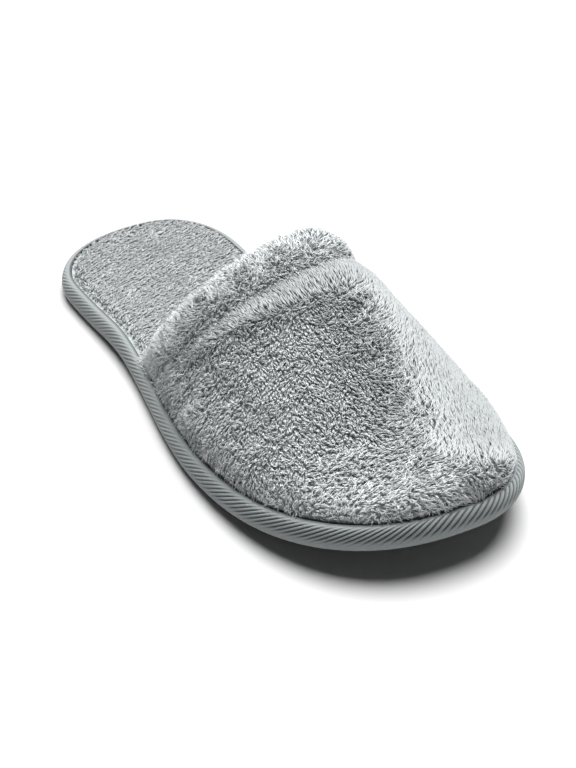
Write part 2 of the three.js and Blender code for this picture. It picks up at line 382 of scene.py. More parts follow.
stud_tree, stud_in = new_geometry_tree(
    "stud_tree",
    [("Spacing", "Float"), ("Height", "Float"), ("Radius", "Float"), ("Material", "Material")],
)
tread_share = add_node(
    stud_tree, "GeometryNodeInputNamedAttribute", {"Name": "tread"}, data_type="FLOAT"
)
tread_only = add_node(
    stud_tree,
    "FunctionNodeCompare",
    {0: tread_share, 1: 0.5},
    data_type="FLOAT",
    operation="GREATER_THAN",
)
stud_points = add_node(
    stud_tree,
    "GeometryNodeDistributePointsOnFaces",
    {
        "Mesh": stud_in["Geometry"],
        "Selection": tread_only,
        "Distance Min": stud_in["Spacing"],
        "Density Max": 90000.0,
        "Seed": 4,
    },
    distribute_method="POISSON",
)
stud_foot = add_node(stud_tree, "ShaderNodeMath", {0: stud_in["Radius"], 1: 1.35}, operation="MULTIPLY")
stud_shape = add_node(
    stud_tree,
    "GeometryNodeMeshCone",
    {
        "Vertices": 10,
        "Side Segments": 1,
        "Radius Top": stud_in["Radius"],
        "Radius Bottom": stud_foot,
        "Depth": stud_in["Height"],
    },
)
stud_set = add_node(
    stud_tree,
    "GeometryNodeInstanceOnPoints",
    {"Points": stud_points, "Instance": stud_shape, "Rotation": stud_points.outputs["Rotation"]},
)
stud_real = add_node(stud_tree, "GeometryNodeRealizeInstances", {"Geometry": stud_set})
stud_painted = add_node(
    stud_tree, "GeometryNodeSetMaterial", {"Geometry": stud_real, "Material": stud_in["Material"]}
)
add_node(stud_tree, "NodeGroupOutput", {"Geometry": stud_painted})
outsole_studs = run_geometry_tree(
    stud_tree,
    "outsole_studs",
    outsole_foam,
    {"Spacing": STUD_SPACING, "Height": STUD_HEIGHT, "Radius": STUD_RADIUS, "Material": foam},
)
for piece in (outsole_foam, outsole_studs):
    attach(piece, "root")
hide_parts("outsole")


# Edge tape
# A cotton twill tape folded round the sole's edge and sewn down. Its diagonal ribs stand out
# on the flank and flatten towards the lower fold; a narrow bead of it shows beside the pile.
HALF_TAPE, EDGE_ROUND = 5, 3  # in mm, as the rows below
RIB_PITCH = 3.4 * mm
RIB_DEPTH = 0.55 * mm
RIB_SLANT = 2.1
COLUMNS_PER_RIB = 7
TURN = 6.2832

tape_rows = [
    # inset, height, share of the rib depth
    (8.0, 1.0, 0.0),
    (8.1, 0.35, 0.0),
    (7.7, 0.1, 0.1),
    (7.2, 0.45, 0.1),
    (6.7, 0.45, 0.1),
    (6.2, 0.1, 0.1),
    (4.6, 0.02, 0.1),
    (3.2, 0.02, 0.1),
]
FLANK_STEPS = 15
MID_FLANK_ROW, TOP_BAND_ROW, INNER_FOLD_ROW = 15, 19, 23
for step in range(1, FLANK_STEPS):
    girth_share = 2 * step / FLANK_STEPS - 1
    angle = math.radians(90 * girth_share)
    rib_share = ease(0.1, 1.0, (girth_share + 0.12) / 0.2)
    rib_share = rib_share * ease(1.0, 0.4, (girth_share - 0.5) / 0.4)
    level = HALF_TAPE + HALF_TAPE * math.sin(angle)
    tape_rows.append((EDGE_ROUND * (1 - math.cos(angle)), level, float(rib_share)))
tape_rows += [
    (3.0, 10.0, 0.2),
    (3.35, 9.9, 0.0),
    (3.7, 10.2, 0.0),
    (4.15, 10.32, 0.0),
    (4.6, 10.15, 0.0),
    (4.75, 9.6, 0.0),
    (4.6, 9.0, 0.0),
    (3.2, 8.9, 0.0),
    (1.3, 5.0, 0.0),
    (3.2, 1.1, 0.0),
]
tape_profile = np.array(tape_rows)
tape_inset, tape_level = tape_profile[:, 0] * mm, tape_profile[:, 1] * mm
tape_steps = np.hypot(np.diff(tape_inset), np.diff(tape_level))
tape_girth = np.concatenate([[0], np.cumsum(tape_steps)])
rib_count = round(OUTLINE_LENGTH / RIB_PITCH)
tape_columns = rib_count * COLUMNS_PER_RIB
rib_phase = np.arange(tape_columns) % COLUMNS_PER_RIB
ridge = np.array([0.0, 0.35, 0.85, 1.0, 1.0, 0.85, 0.35])[rib_phase]
column_at = np.arange(tape_columns) * OUTLINE_LENGTH / tape_columns
lean_at = np.clip(tape_girth, None, tape_girth[INNER_FOLD_ROW]) - tape_girth[MID_FLANK_ROW]
lean_at = lean_at * RIB_SLANT
# Round the toe's inner side the tape is stretched: its ribs stand steeper and reach the top
stretched = ease(0, 1, (column_at - 295 * mm) / (40 * mm))
stretched = stretched * ease(1, 0, (column_at - 400 * mm) / (90 * mm))
tape_at = column_at[None, :] + lean_at[:, None] * (1 - 0.4 * stretched)
upper_flank = ((tape_profile[:, 1] > 8) & (tape_profile[:, 0] < 3.1))[:, None]
rib_share_at = tape_profile[:, 2:3] + 0.8 * upper_flank * stretched * (1 - tape_profile[:, 2:3])
# The ribs are pressed flatter along the sides and round the heel
standing = ease(0.55, 1, (column_at - 180 * mm) / (90 * mm))
standing = standing * ease(1, 0.55, (column_at - 470 * mm) / (90 * mm))
rib_share_at *= standing
tape_edge, tape_inward = on_outline(tape_at)
profile_slope = np.stack([np.gradient(tape_inset), np.gradient(tape_level)], -1)
profile_slope /= np.linalg.norm(profile_slope, axis=1, keepdims=True)
into_inset, into_level = profile_slope[:, 1], -profile_slope[:, 0]
carved = RIB_DEPTH * rib_share_at * (1 - ridge)
inset_here = tape_inset[:, None] + into_inset[:, None] * carved
level_here = tape_level[:, None] + into_level[:, None] * carved
tape_flat = tape_edge + tape_inward * inset_here[..., None]
tape_lift = sole_lift(np.clip(SOLE_LENGTH / 2 - tape_flat[..., 1], 0, SOLE_LENGTH))
tape_points = np.concatenate([tape_flat, (level_here + tape_lift)[..., None]], -1)
tape_faces = sheet_faces(len(tape_rows), tape_columns, wrap=True)
closing = np.arange(tape_columns)
last_row = (len(tape_rows) - 1) * tape_columns
closing_next = np.roll(closing, -1)
closing_faces = np.stack([last_row + closing, last_row + closing_next, closing_next, closing], -1)
TOP_BAND_FROM = float(tape_girth[TOP_BAND_ROW])
# Painted shadow: the inner fold beside the pile, under the pile's overhang, is marked for darkening
inner_fold_painted_shadow = np.interp(tape_profile[:, 0], (3.5, 4.3), (0, 1)) * (tape_profile[:, 1] > 8.8)
# Painted shade: the rib grooves and the inner fold are marked here to be painted near black in the twill
groove = np.maximum(rib_share_at * (1 - ridge), inner_fold_painted_shadow[:, None])
tape_mesh = make_mesh(
    "edge_tape_twill",
    tape_points.reshape(-1, 3),
    np.concatenate([tape_faces, closing_faces]),
    merge=False,
    groove=groove.ravel(),
    girth=np.broadcast_to(tape_girth[:, None], tape_at.shape).ravel(),
    travel=(tape_at - RIB_SLANT * tape_girth[:, None]).ravel(),
)
edge_tape_twill = new_object("edge_tape_twill", tape_mesh)

# Cotton twill: matt, spun threads about 0.35 mm apart along each rib, with painted shade in the rib
# grooves and a painted shadow along the inner fold beside the pile
twill, twill_tree = new_material("cotton_twill")
twill_groove, twill_girth, twill_travel = (
    add_node(twill_tree, "ShaderNodeAttribute", attribute_name=layer).outputs["Fac"]
    for layer in ("groove", "girth", "travel")
)
twill_place = add_node(twill_tree, "ShaderNodeCombineXYZ", {"X": twill_travel, "Y": twill_girth})
twill_threads = add_node(
    twill_tree,
    "ShaderNodeTexWave",
    {"Vector": twill_place, "Scale": 1 / (0.35 * mm) / TURN, "Distortion": 0.8},
    bands_direction="Y",
)
twill_object = add_node(twill_tree, "ShaderNodeTexCoord").outputs["Object"]
twill_fuzz = add_node(
    twill_tree,
    "ShaderNodeTexNoise",
    {"Vector": twill_object, "Scale": 1 / (0.5 * mm), "Detail": 4.0, "Roughness": 0.7},
)
twill_soil = add_node(
    twill_tree, "ShaderNodeTexNoise", {"Vector": twill_object, "Scale": 1 / (22 * mm), "Detail": 3.0}
)
twill_base = add_node(
    twill_tree,
    "ShaderNodeMix",
    {0: twill_soil, 6: linear("#7b8081"), 7: linear("#8f9394")},
    data_type="RGBA",
)
twill_speck = add_node(
    twill_tree,
    "ShaderNodeMix",
    {0: twill_fuzz, 6: linear("#646a6b"), 7: twill_base},
    data_type="RGBA",
)
top_band = add_node(
    twill_tree,
    "ShaderNodeMapRange",
    {"Value": twill_girth, "From Min": TOP_BAND_FROM, "From Max": TOP_BAND_FROM + 2 * mm},
)
# Painted light: the top band, which faces up, is mixed to a flat grey of its own, set for how the light
# falls on it
top_band_painted_light = add_node(
    twill_tree, "ShaderNodeMix", {0: top_band, 6: twill_speck, 7: linear("#797e7f")}, data_type="RGBA"
)
# Painted shade: the twill is mixed towards near black along the rib grooves and the inner fold
groove_shade = add_node(
    twill_tree,
    "ShaderNodeMix",
    {0: twill_groove, 6: top_band_painted_light, 7: linear("#262b2c")},
    data_type="RGBA",
)
twill_height = add_node(
    twill_tree, "ShaderNodeMath", {0: twill_threads.outputs["Fac"], 1: twill_fuzz}, operation="ADD"
)
finish_material(
    twill_tree,
    (twill_height, 0.6, 0.08 * mm),
    Base_Color=groove_shade,
    Roughness=0.85,
    Sheen_Weight=0.15,
    Sheen_Roughness=0.5,
)
tape_mesh.materials.append(twill)
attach(edge_tape_twill, "root")
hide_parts("edge_tape")


# Footbed
# A padded insole, foam under terry cloth, held at its edge by the tape. It is crowned, stands
# about 2 mm above the tape, and is pressed a little hollow under the heel and the ball.
# Its pile lies across the foot, towards the inner side, and parts there in short dashes.
MARGIN = 9.6 * mm
FOOTBED_DOME = 2.2 * mm
DOME_REACH = 16 * mm
PILE_SINK = 1.5 * mm
BED_EDGE, BED_BASE = 4.9 * mm, 5.3 * mm
BED_ROWS, BED_COLUMNS = 96, 40
CUFF_BACK, CUFF_WIDTH = 110.5 * mm, 22 * mm
bed_flat, bed_reach = slab_points(BED_EDGE, BED_ROWS, BED_COLUMNS)
bed_along = SOLE_LENGTH / 2 - bed_flat[:, 1]
bed_rise = ease(-0.3 * mm, FOOTBED_DOME - 0.9 * mm, (bed_reach - BED_EDGE) / (4 * mm))
bed_rise += ease(0, 0.4 * mm, (bed_reach - 9 * mm) / DOME_REACH)
# Each hollow or swell: share of the length, offset across, half lengths, depth
bed_forms = [
    (0.16, 2, 34, 24, -0.9),
    (0.70, 0, 30, 34, -0.7),
    (0.36, 8, 22, 16, 0.5),
    (0.26, -20, 10, 7, 0.35),
    (0.10, 22, 9, 12, 0.3),
]
for at, offset, long_reach, wide_reach, depth in bed_forms:
    u = (bed_along - at * SOLE_LENGTH) / (long_reach * mm)
    v = (bed_flat[:, 0] - offset * mm) / (wide_reach * mm)
    bed_rise += depth * mm * np.exp(-(u**2) - v**2) * ease(0, 1, (bed_reach - 6 * mm) / (8 * mm))
bed_top = np.column_stack([bed_flat, MARGIN + bed_rise + sole_lift(bed_along)])
bed_base = np.column_stack([bed_flat, np.full(len(bed_flat), BED_BASE) + sole_lift(bed_along)])
covered = ease(1, 0.06, (bed_along - CUFF_BACK - 12 * mm) / (70 * mm))
beside_tape = ease(0, 1, (bed_reach - BED_EDGE - 1.2 * mm) / (1.0 * mm))
bed_cover = np.concatenate([covered * beside_tape, np.zeros(len(bed_flat))])
edge_comb = ease(1, 0, (bed_reach - BED_EDGE) / (5 * mm))
nearest = outline[[int(np.argmin(((outline - p) ** 2).sum(1))) for p in bed_flat]]
outward = nearest - bed_flat
outward /= np.maximum(np.linalg.norm(outward, axis=1, keepdims=True), 1e-9)
bed_comb = np.column_stack([np.full(len(bed_flat), 0.9), np.full(len(bed_flat), 0.12)])
bed_comb = bed_comb * (1 - edge_comb)[:, None] + 0.3 * outward * edge_comb[:, None]
bed_comb = np.column_stack([bed_comb, np.zeros(len(bed_flat))])
bed_mesh = make_mesh(
    "footbed_cloth",
    np.concatenate([bed_top, bed_base]),
    np.concatenate(closed_slab(BED_ROWS, BED_COLUMNS)),
    flip=True,
    cover=bed_cover,
    comb=np.concatenate([bed_comb, np.zeros_like(bed_comb)]),
    coarse=np.full(2 * len(bed_flat), 0.9),
    zone=np.concatenate([(bed_along > 0.3 * SOLE_LENGTH) + 1.0, np.zeros(len(bed_flat))]),
)
footbed_cloth = new_object("footbed_cloth", bed_mesh)


def terry_material(name, root, low, high, smooth):
    """Cotton terry: matt, soft and light at the thread tips, and darkened towards the roots where it
    stands up in tufts, a painted shade for the shade deep in the pile. Where it lies smooth it is
    painted one even, darker grey, a painted shade that tones down the light on the smooth pile."""
    material, tree = new_material(name)
    tip, shade, coarse_here = (
        add_node(tree, "ShaderNodeAttribute", attribute_name=layer).outputs["Fac"]
        for layer in ("tip", "shade", "coarse")
    )
    place = add_node(tree, "ShaderNodeTexCoord").outputs["Object"]
    dye = add_node(tree, "ShaderNodeTexNoise", {"Vector": place, "Scale": 1 / (14 * mm), "Detail": 3.0})
    mixed = add_node(tree, "ShaderNodeMath", {0: shade, 1: dye}, operation="ADD")
    halved = add_node(tree, "ShaderNodeMath", {0: mixed, 1: 0.5}, operation="MULTIPLY")
    thread = add_node(
        tree, "ShaderNodeMix", {0: halved, 6: linear(low), 7: linear(high)}, data_type="RGBA"
    )
    # Painted shade: each thread goes from the root colour at its root to its own tone at the tip
    along = add_node(tree, "ShaderNodeMix", {0: tip, 6: linear(root), 7: thread}, data_type="RGBA")
    # Painted shade: where the pile lies smooth it is mixed to one even, darker grey
    laid = add_node(
        tree, "ShaderNodeMix", {0: coarse_here, 6: linear(smooth), 7: along}, data_type="RGBA"
    )
    fuzz = add_node(
        tree, "ShaderNodeTexNoise", {"Vector": place, "Scale": 1 / (0.25 * mm), "Detail": 2.0}
    )
    finish_material(
        tree,
        (fuzz, 0.4, 0.08 * mm),
        Base_Color=laid,
        Roughness=0.95,
        Sheen_Weight=0.12,
        Sheen_Roughness=0.6,
    )
    return material


def backing_material(name, dark, light, smooth):
    """The knitted ground that the pile stands on, seen only between the threads. Its colours are darker
    than the threads', a painted shade in the gaps of the pile.
    """
    material, tree = new_material(name)
    coarse_here = add_node(tree, "ShaderNodeAttribute", attribute_name="coarse").outputs["Fac"]
    place = add_node(tree, "ShaderNodeTexCoord").outputs["Object"]
    knit = add_node(tree, "ShaderNodeTexVoronoi", {"Vector": place, "Scale": 1 / (0.9 * mm)})
    tone = add_node(
        tree, "ShaderNodeMix", {0: knit, 6: linear(light), 7: linear(dark)}, data_type="RGBA"
    )
    tone_here = add_node(
        tree, "ShaderNodeMix", {0: coarse_here, 6: linear(smooth), 7: tone}, data_type="RGBA"
    )
    finish_material(tree, (knit, 1.0, 0.3 * mm), Base_Color=tone_here, Roughness=0.95)
    return material


PILE_VALUES = (
    "Threads per square metre", "Thread length", "Thread radius", "Bend",
    "Tuft pull", "Lean", "Swirl size", "Swirl", "Stray",
)
pile_tree, pile_in = new_geometry_tree(
    "pile_tree",
    [
        *((label, "Float") for label in PILE_VALUES),
        ("Tuft size", "Vector"), ("Zone", "Int"), ("Seed", "Int"), ("Material", "Material"),
    ],
)
MATH, VECTOR = "ShaderNodeMath", "ShaderNodeVectorMath"


def pile_node(kind, inputs=None, **settings):
    return add_node(pile_tree, kind, inputs, **settings)


# What the cloth says at each place
zone_here, cover_here, coarse, comb_here = (
    pile_node("GeometryNodeInputNamedAttribute", {"Name": label}, data_type=kind)
    for label, kind in (
        ("zone", "FLOAT"), ("cover", "FLOAT"), ("coarse", "FLOAT"), ("comb", "FLOAT_VECTOR")
    )
)

# Roots: scattered over the chosen zone of the cloth
in_zone = pile_node(
    "FunctionNodeCompare",
    {0: zone_here, 1: pile_in["Zone"], 12: 0.5},
    data_type="FLOAT",
    operation="EQUAL",
)
density = {0: pile_in["Threads per square metre"], 1: cover_here}
density = pile_node(MATH, density, operation="MULTIPLY")
roots = pile_node(
    "GeometryNodeDistributePointsOnFaces",
    {"Mesh": pile_in["Geometry"], "Selection": in_zone, "Density": density, "Seed": pile_in["Seed"]},
    distribute_method="RANDOM",
)
upright = roots.outputs["Normal"]
root_place = pile_node("GeometryNodeInputPosition")

# Tufts: neighbouring threads lean together, towards the middle of their tuft
wander = pile_node("ShaderNodeTexNoise", {"Vector": root_place, "Scale": 1 / (4 * mm), "Detail": 1.0})
wander = pile_node(VECTOR, {0: wander.outputs["Color"], 1: (0.5,) * 3}, operation="SUBTRACT")
wander = pile_node(VECTOR, {0: wander, "Scale": 2.2 * mm}, operation="SCALE")
tuft_place = pile_node(VECTOR, {0: root_place, 1: wander}, operation="ADD")
tuft_place = pile_node(VECTOR, {0: tuft_place, 1: pile_in["Tuft size"]}, operation="DIVIDE")
tuft = pile_node("ShaderNodeTexVoronoi", {"Vector": tuft_place, "Scale": 1.0}).outputs["Position"]
to_tuft = pile_node(VECTOR, {0: tuft, 1: pile_in["Tuft size"]}, operation="MULTIPLY")
to_tuft = pile_node(VECTOR, {0: to_tuft, 1: root_place}, operation="SUBTRACT")
pull = pile_node(MATH, {0: pile_in["Tuft pull"], 1: coarse}, operation="MULTIPLY")
pull = pile_node(MATH, {0: pull, 1: pile_in["Thread length"]}, operation="DIVIDE")
to_tuft = pile_node(VECTOR, {0: to_tuft, "Scale": pull}, operation="SCALE")

# Combing, flatter where the pile is smooth
laid_flat = pile_node(MATH, {0: coarse, 1: 1.6}, operation="MULTIPLY")
laid_flat = pile_node(MATH, {0: 2.6, 1: laid_flat}, operation="SUBTRACT")
laid_flat = pile_node(MATH, {0: pile_in["Lean"], 1: laid_flat}, operation="MULTIPLY")
combed = pile_node(VECTOR, {0: comb_here, "Scale": laid_flat}, operation="SCALE")

# Slow swirls, and a little stray for each thread
per_swirl = pile_node(MATH, {0: 1.0, 1: pile_in["Swirl size"]}, operation="DIVIDE")
swirl = pile_node(VECTOR, {0: root_place, "Scale": per_swirl}, operation="SCALE")
swirl = pile_node("ShaderNodeTexNoise", {"Vector": swirl, "Scale": 1.0, "Detail": 1.5})
swirl = pile_node(VECTOR, {0: swirl.outputs["Color"], 1: (0.5,) * 3}, operation="SUBTRACT")
swirl_by = pile_node(MATH, {0: pile_in["Swirl"], 1: coarse}, operation="MULTIPLY")
swirl_by = pile_node(MATH, {0: swirl_by, 1: 4.0}, operation="MULTIPLY")
swirl = pile_node(VECTOR, {0: swirl, "Scale": swirl_by}, operation="SCALE")
stray = pile_node(
    "FunctionNodeRandomValue", {0: (-1.0,) * 3, 1: (1.0,) * 3, "Seed": 11}, data_type="FLOAT_VECTOR"
)
stray_by = pile_node(MATH, {0: coarse, 1: 0.7}, operation="MULTIPLY")
stray_by = pile_node(MATH, {0: stray_by, 1: 0.3}, operation="ADD")
stray_by = pile_node(MATH, {0: pile_in["Stray"], 1: stray_by}, operation="MULTIPLY")
stray = pile_node(VECTOR, {0: stray, "Scale": stray_by}, operation="SCALE")

# The whole lean, kept square to the cloth's normal
pulled = pile_node(VECTOR, {0: to_tuft, 1: combed}, operation="ADD")
swept = pile_node(VECTOR, {0: swirl, 1: stray}, operation="ADD")
lean = pile_node(VECTOR, {0: pulled, 1: swept}, operation="ADD")
upward = pile_node(VECTOR, {0: lean, 1: upright}, operation="DOT_PRODUCT").outputs["Value"]
upward = pile_node(VECTOR, {0: upright, "Scale": upward}, operation="SCALE")
lean = pile_node(VECTOR, {0: lean, 1: upward}, operation="SUBTRACT")
direction = pile_node(VECTOR, {0: upright, 1: lean}, operation="ADD")
direction = pile_node(VECTOR, {0: direction}, operation="NORMALIZE")
turned = pile_node(
    "FunctionNodeAxesToRotation",
    {"Primary Axis": direction, "Secondary Axis": lean},
    primary_axis="Z",
    secondary_axis="X",
)

# One thread: three-sided, widest a third of the way up, pointed and bent over at its tip
thread = pile_node(
    "GeometryNodeMeshCone",
    {
        "Vertices": 3,
        "Side Segments": 2,
        "Radius Top": 0.0,
        "Radius Bottom": pile_in["Thread radius"],
        "Depth": pile_in["Thread length"],
    },
)
in_thread = pile_node("ShaderNodeSeparateXYZ", {0: pile_node("GeometryNodeInputPosition")}).outputs
climb = pile_node(MATH, {0: in_thread["Z"], 1: pile_in["Thread length"]}, operation="DIVIDE")
fullness = pile_node(MATH, {0: climb, 1: 2.2}, operation="MULTIPLY")
fullness = pile_node(MATH, {0: fullness, 1: 0.8}, operation="ADD")
climb_squared = pile_node(MATH, {0: climb, 1: climb}, operation="MULTIPLY")
bent = pile_node(MATH, {0: pile_in["Bend"], 1: pile_in["Thread length"]}, operation="MULTIPLY")
bent = pile_node(MATH, {0: climb_squared, 1: bent}, operation="MULTIPLY")
wide_x = pile_node(MATH, {0: in_thread["X"], 1: fullness}, operation="MULTIPLY")
wide_x = pile_node(MATH, {0: wide_x, 1: bent}, operation="ADD")
wide_y = pile_node(MATH, {0: in_thread["Y"], 1: fullness}, operation="MULTIPLY")
thread_place = pile_node("ShaderNodeCombineXYZ", {"X": wide_x, "Y": wide_y, "Z": in_thread["Z"]})
thread = pile_node(
    "GeometryNodeStoreNamedAttribute",
    {"Geometry": thread, "Name": "tip", "Value": climb},
    data_type="FLOAT",
    domain="POINT",
)
thread = pile_node("GeometryNodeSetPosition", {"Geometry": thread, "Position": thread_place})
thread = pile_node("GeometryNodeSetShadeSmooth", {"Geometry": thread})

# The pile: threads of uneven height and width, each with a shade of its own
tall = pile_node("FunctionNodeRandomValue", {2: -0.3, 3: 0.15, "Seed": 21}, data_type="FLOAT")
tall = pile_node(MATH, {0: tall, 1: coarse}, operation="MULTIPLY")
tall = pile_node(MATH, {0: tall, 1: 1.0}, operation="ADD")
wide = pile_node("FunctionNodeRandomValue", {2: 0.8, 3: 1.2, "Seed": 22}, data_type="FLOAT")
wide_by = pile_node(MATH, {0: coarse, 1: 0.3}, operation="MULTIPLY")
wide_by = pile_node(MATH, {0: 1.3, 1: wide_by}, operation="SUBTRACT")
wide = pile_node(MATH, {0: wide, 1: wide_by}, operation="MULTIPLY")
pile = pile_node(
    "GeometryNodeInstanceOnPoints",
    {
        "Points": roots,
        "Instance": thread,
        "Rotation": turned,
        "Scale": pile_node("ShaderNodeCombineXYZ", {"X": wide, "Y": wide, "Z": tall}),
    },
)
own_shade = pile_node("FunctionNodeRandomValue", {"Seed": 31}, data_type="FLOAT")
pile = pile_node(
    "GeometryNodeStoreNamedAttribute",
    {"Geometry": pile, "Name": "shade", "Value": own_shade},
    data_type="FLOAT",
    domain="INSTANCE",
)
pile = pile_node("GeometryNodeRealizeInstances", {"Geometry": pile})
pile = pile_node("GeometryNodeSetMaterial", {"Geometry": pile, "Material": pile_in["Material"]})
pile_node("NodeGroupOutput", {"Geometry": pile})


def grow_pile(name, cloth, material, slot, **settings):
    """Terry pile on one zone of a cloth, as a piece of its own."""
    settings = {label.replace("_", " "): value for label, value in settings.items()}
    pile = run_geometry_tree(pile_tree, name, cloth, {**settings, "Material": material})
    for spare in ("comb", "cover", "zone"):
        if spare in pile.data.attributes:
            pile.data.attributes.remove(pile.data.attributes[spare])
    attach(pile, "root")
    return pile


# The first colour darkens the threads at their roots and the last is the grey of smooth pile, both
# painted shade
bed_pile = terry_material("terry_pile_combed", "#5c6162", "#a2a6a7", "#c8cacb", "#8f9394")
# The ground's colours are darker than the threads', painted shade in the gaps of the pile
bed_backing = backing_material("terry_ground", "#8c9293", "#b0b4b4", "#9a9e9f")
bed_mesh.materials.append(bed_backing)
for number, part in ((1, "heel"), (2, "waist")):
    grow_pile(
        "footbed_pile_" + part, footbed_cloth, bed_pile, "terry_footbed",
        Zone=number, Threads_per_square_metre=2.0e6,
        Thread_length=2.3 * mm, Thread_radius=0.25 * mm, Bend=0.5,
        Tuft_size=(3.2 * mm, 1.3 * mm, 1.8 * mm), Tuft_pull=0.7, Lean=0.85,
        Swirl_size=12 * mm, Swirl=0.25, Stray=0.16, Seed=5 + number,
    )
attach(footbed_cloth, "root")
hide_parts("footbed")


# Vamp
# The closed upper: terry cloth over thin padding with a plain woven lining, sewn down inside
# the tape. It is puffed up beside the seam and rolls out over the tape round the toe.
THROAT_HEIGHT = 60 * mm
THROAT_CURVE = 31.5 * mm
UPPER_INSET, UPPER_FOOT = 5.1 * mm, 9.9 * mm
VAMP_WALL = 3 * mm
SEAM_AT = CUFF_BACK + CUFF_WIDTH
crown_line = np.array(
    [
        # share of the length, height as a share of the throat's, place from outer to inner foot
        (0.42, 1, 0.79),
        (0.515, 1, 0.745),
        (0.608, 0.917, 0.69),
        (0.711, 0.708, 0.64),
        (0.814, 0.45, 0.575),
        (0.897, 0.275, 0.54),
        (0.95, 0.192, 0.53),
    ]
)


def crown_value(column, along):
    """One column of the crown line, on a smooth curve through its rows."""
    share = along / SOLE_LENGTH
    at, value = crown_line[:, 0], crown_line[:, column]
    i = np.clip(np.searchsorted(at, share) - 1, 0, len(at) - 2)
    ends = np.arange(len(at))
    back, front = np.maximum(ends - 1, 0), np.minimum(ends + 1, len(at) - 1)
    slope = (value[front] - value[back]) / (at[front] - at[back])
    span = at[i + 1] - at[i]
    t = np.clip((share - at[i]) / span, 0, 1)
    bulge = span * t * (1 - t) * ((1 - t) * slope[i] - t * slope[i + 1])
    return ease(value[i], value[i + 1], t) + bulge


def upper_point(foot, side, depth):
    """A point of the upper: side goes from -1 at the outer foot over the crown to 1."""
    foot, side, depth = np.broadcast_arrays(
        np.asarray(foot, float), np.asarray(side, float), np.asarray(depth, float)
    )
    inset = UPPER_INSET + depth
    toe_end = SOLE_LENGTH - inset
    past = np.clip((foot - SEAM_AT) / (toe_end - SEAM_AT), 0, 1)
    along = np.minimum(foot + THROAT_CURVE * (1 - side**2) * (1 - past) ** 1.5, toe_end)
    left = -half_width(outer_side, along, inset)
    right = half_width(inner_side, along, inset)
    crown = left + (right - left) * crown_value(2, along)
    toe_start = crown_line[-1, 0] * SOLE_LENGTH
    rounding = np.sqrt(1 - np.clip((along - toe_start) / (toe_end - toe_start), 0, 1) ** 2)
    rise = (THROAT_HEIGHT * crown_value(1, along) - depth) * rounding
    power = np.where(side < 0, outer_side["section_power"], inner_side["section_power"])
    quarter = side * np.pi / 2
    outwards = np.abs(np.sin(quarter)) ** (2 / power)
    upwards = np.maximum(np.cos(quarter), 0) ** (2 / power)
    across = crown + (np.where(side < 0, left, right) - crown) * outwards
    height = UPPER_FOOT + rise * upwards + sole_lift(along)
    return np.stack([across, SOLE_LENGTH / 2 - along, height], -1)


# Soft troughs and ridges: distance along the foot and place across, as upper_point takes them, turn in
# degrees from the foot's line, half length and half width as shares of the ball's width, and height in
# shares of the vamp's wall.
vamp_forms = [
    (0.585, -0.36, 62, 0.17, 0.085, -0.42),  # hollow behind the seam's puff
    (0.60, -0.66, 10, 0.26, 0.055, -0.32),  # long trough above the outer roll
    (0.66, -0.82, 6, 0.30, 0.05, 0.30),  # outer roll over the tape
    (0.71, -0.10, 75, 0.09, 0.05, -0.30),  # dimple on the crown's outer slope
    (0.80, -0.42, 35, 0.13, 0.05, -0.26),
    (0.74, -0.34, 50, 0.12, 0.06, 0.22),
    (0.86, -0.05, 80, 0.15, 0.045, -0.22),
    (0.62, 0.05, 8, 0.24, 0.07, 0.25),  # soft ridge along the crown
    (0.52, -0.05, 88, 0.22, 0.06, 0.3),  # puff in front of the seam
    (0.52, -0.55, 88, 0.16, 0.05, 0.25),
    (0.93, -0.20, 70, 0.10, 0.03, -0.30),  # creases across the toe
    (0.955, 0.15, 60, 0.08, 0.025, -0.25),
    (0.90, 0.30, 40, 0.10, 0.04, 0.22),
    (0.70, 0.50, 15, 0.22, 0.06, -0.25),  # inner flank
    (0.60, 0.70, 10, 0.16, 0.05, -0.25),
    (0.80, 0.72, 20, 0.12, 0.05, 0.22),
]


def form_height(foot, side):
    """Height that the troughs and ridges add at a place on the upper."""
    total = np.zeros(np.broadcast(foot, side).shape)
    for at, place, degrees, length, width, height in vamp_forms:
        u = foot - at * SOLE_LENGTH
        v = (side - place) * 0.72 * BALL_WIDTH
        a = math.radians(degrees)
        p = (u * math.cos(a) + v * math.sin(a)) / (length * BALL_WIDTH)
        q = (v * math.cos(a) - u * math.sin(a)) / (width * BALL_WIDTH)
        total = total + height * VAMP_WALL * np.exp(-(p**2) - q**2)
    return total


def roll_out(height):
    """How far the puffed cloth hangs outwards, at a height above its foot."""
    share = height / (5.5 * mm)
    return 1.5 * mm * share * np.exp(1 - share) * (share < 8)


def away_from_feet(side):
    return 1 - np.asarray(side) ** 6


VAMP_ROWS, VAMP_COLUMNS = 84, 91
vamp_back = SEAM_AT + 0.3 * mm
vamp_end = SOLE_LENGTH - UPPER_INSET
vamp_foot = vamp_back + (vamp_end - vamp_back) * np.sin(np.linspace(0, np.pi / 2, VAMP_ROWS))
vamp_side = np.linspace(-1, 1, VAMP_COLUMNS)
foot_grid, side_grid = np.meshgrid(vamp_foot, vamp_side, indexing="ij")


def cloth_normals(points):
    """Outward unit normals of a grid of points on the upper."""
    down = np.gradient(points, axis=0)
    over = np.gradient(points, axis=1)
    normal = np.cross(down, over)
    size = np.linalg.norm(normal, axis=-1, keepdims=True)
    return normal / np.maximum(size, 1e-12)


